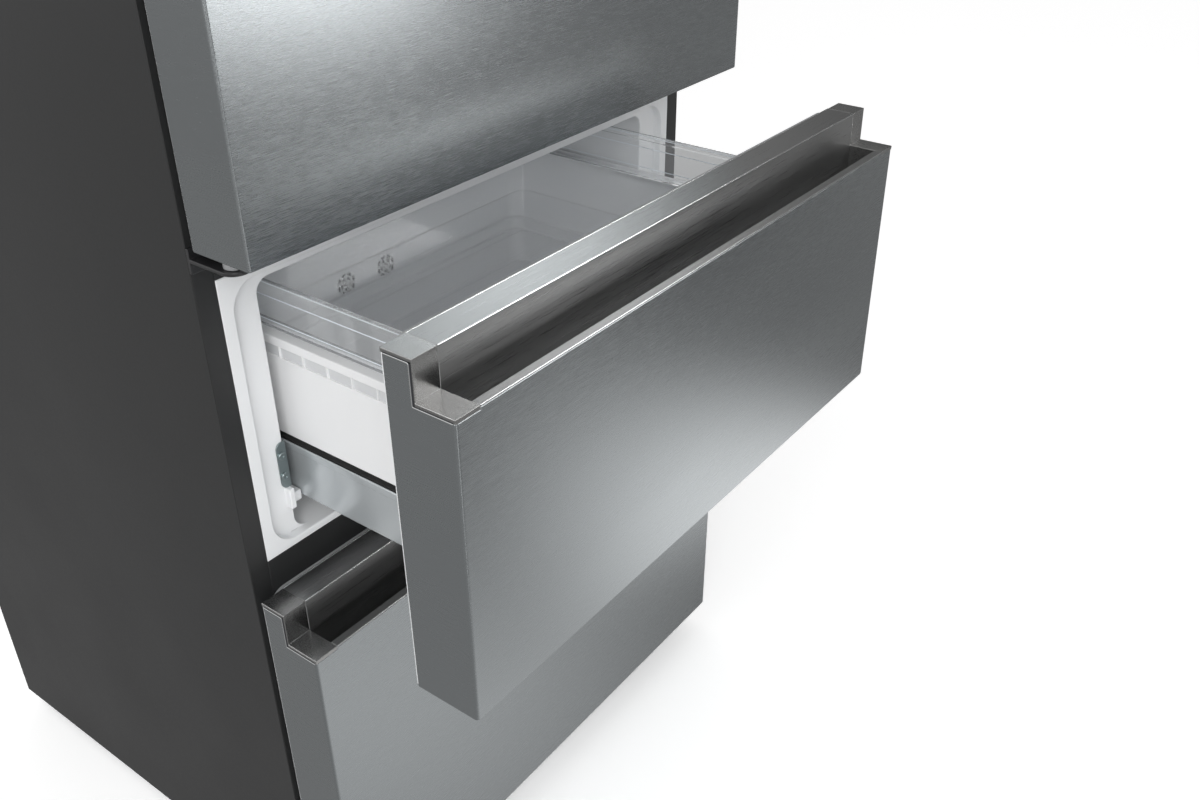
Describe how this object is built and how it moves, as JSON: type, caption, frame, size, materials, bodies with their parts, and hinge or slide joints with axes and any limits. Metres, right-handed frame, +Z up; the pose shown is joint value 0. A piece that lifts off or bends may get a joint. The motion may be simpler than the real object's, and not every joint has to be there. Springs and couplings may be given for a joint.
{
  "type": "fridge freezer",
  "caption": "Tall combined fridge freezer: a hinged upper door over full-width pull-out drawers with a recessed grip along their stepped tops; the middle drawer stands part open.",
  "frame": {"origin": "on the floor, at the centre of the bounding box's footprint with the middle drawer pulled out as far as it stands at rest; the cabinet is centred on it left to right", "axes": "+X to the right seen from the front, +Y to the back, +Z up; the fronts face -Y"},
  "size_m": [0.7, 0.877, 2.006],
  "materials": {
    "stainless": "satin",
    "trim": "satin",
    "cabinet_paint": "satin",
    "hidden_steel": "satin",
    "foam": "matte",
    "white_plastic": "satin",
    "clear_plastic": "gloss",
    "shelf_glass": "gloss",
    "black_plastic": "satin",
    "grey_plastic": "matte",
    "gasket": "matte",
    "rubber": "matte",
    "rail_steel": "satin",
    "bar_paint": "satin",
    "zinc": "satin",
    "black_paint": "satin",
    "fins": "satin"
  },
  "bodies": {
    "cabinet": {"outer_cabinet": "cabinet_paint", "back_panel": "hidden_steel", "base_pan": "hidden_steel", "insulation_foam": "foam", "crossbars": "cabinet_paint", "fridge_liner": "white_plastic", "chill_liner": "white_plastic", "freezer_liner": "white_plastic", "plinth_grille": "black_plastic", "upper_hinge": "zinc", "upper_hinge_cover": "black_plastic", "middle_hinge": "zinc", "compressor": "black_paint", "compressor_mounts": "rubber", "drip_tray": "black_plastic", "condenser_circuit": "black_paint", "machine_cover": "hidden_steel", "mains_inlet": "black_plastic", "evaporator": "fins", "evaporator_cover": "white_plastic", "fan_motor": "black_plastic", "air_duct": "white_plastic", "ceiling_lamp": "white_plastic", "control_panel": "grey_plastic", "fridge_shelves": "shelf_glass", "crisper": "clear_plastic", "fixed_rails": "rail_steel", "cabinet_screws": "zinc"},
    "door": {"door_skin": "stainless", "door_foam": "foam", "door_inner_liner": "white_plastic", "door_gasket": "gasket", "door_top_cap": "grey_plastic", "door_bottom_cap": "grey_plastic", "door_bins": "clear_plastic"},
    "chill_drawer": {"chill_front_skin": "stainless", "chill_handle": "trim", "chill_end_caps": "trim", "chill_front_foam": "foam", "chill_inner_panel": "white_plastic", "chill_gasket": "gasket", "chill_basket": "white_plastic", "chill_tray": "clear_plastic", "chill_side_bars": "bar_paint"},
    "chill_middle_rails": {"chill_middle_rails": "rail_steel"},
    "freezer_drawer": {"freezer_front_skin": "stainless", "freezer_handle": "trim", "freezer_end_caps": "trim", "freezer_front_foam": "foam", "freezer_inner_panel": "white_plastic", "freezer_gasket": "gasket", "freezer_basket": "white_plastic", "freezer_tray": "clear_plastic", "freezer_side_bars": "bar_paint"},
    "freezer_middle_rails": {"freezer_middle_rails": "rail_steel"},
    "fan_blade": {"fan_blade": "grey_plastic"},
    "foot_left": {"foot_left": "black_plastic"},
    "foot_right": {"foot_right": "black_plastic"},
    "humidity_slider": {"humidity_slider": "grey_plastic"},
    "rear_rollers": {"rear_rollers": "grey_plastic"}
  },
  "joints": [
    {"name": "fridge_door_hinge", "type": "hinge", "parent": "cabinet", "child": "door", "pos_m": [-0.336, -0.2015, 0.8505], "axis": [0, 0, -1], "range_deg": [0, 120]},
    {"name": "chill_drawer_slide", "type": "slide", "parent": "cabinet", "child": "chill_drawer", "axis": [0, -1, 0], "range_m": [-0.201, 0.179]},
    {"name": "chill_middle_rail_slide", "type": "slide", "parent": "cabinet", "child": "chill_middle_rails", "axis": [0, -1, 0], "range_m": [-0.1005, 0.0895]},
    {"name": "freezer_drawer_slide", "type": "slide", "parent": "cabinet", "child": "freezer_drawer", "axis": [0, -1, 0], "range_m": [0, 0.33]},
    {"name": "freezer_middle_rail_slide", "type": "slide", "parent": "cabinet", "child": "freezer_middle_rails", "axis": [0, -1, 0], "range_m": [0, 0.165]},
    {"name": "fan_spin", "type": "hinge", "parent": "cabinet", "child": "fan_blade", "pos_m": [0, 0.2785, 0.41], "axis": [0, -1, 0], "continuous": true},
    {"name": "humidity_slide", "type": "slide", "parent": "cabinet", "child": "humidity_slider", "axis": [1, 0, 0], "range_m": [0, 0.036]},
    {"name": "rear_roller_spin", "type": "hinge", "parent": "cabinet", "child": "rear_rollers", "pos_m": [0, 0.3625, 0.011], "axis": [1, 0, 0], "continuous": true},
    {"name": "foot_left_turn", "type": "hinge", "parent": "cabinet", "child": "foot_left", "pos_m": [-0.3, -0.1195, 0.009], "axis": [0, 0, 1], "continuous": true},
    {"name": "foot_right_turn", "type": "hinge", "parent": "cabinet", "child": "foot_right", "pos_m": [0.3, -0.1195, 0.009], "axis": [0, 0, 1], "continuous": true}
  ],
  "couplings": [
    {"joint": "chill_middle_rail_slide", "follows": "chill_drawer_slide", "ratio": 0.5},
    {"joint": "freezer_middle_rail_slide", "follows": "freezer_drawer_slide", "ratio": 0.5}
  ]
}
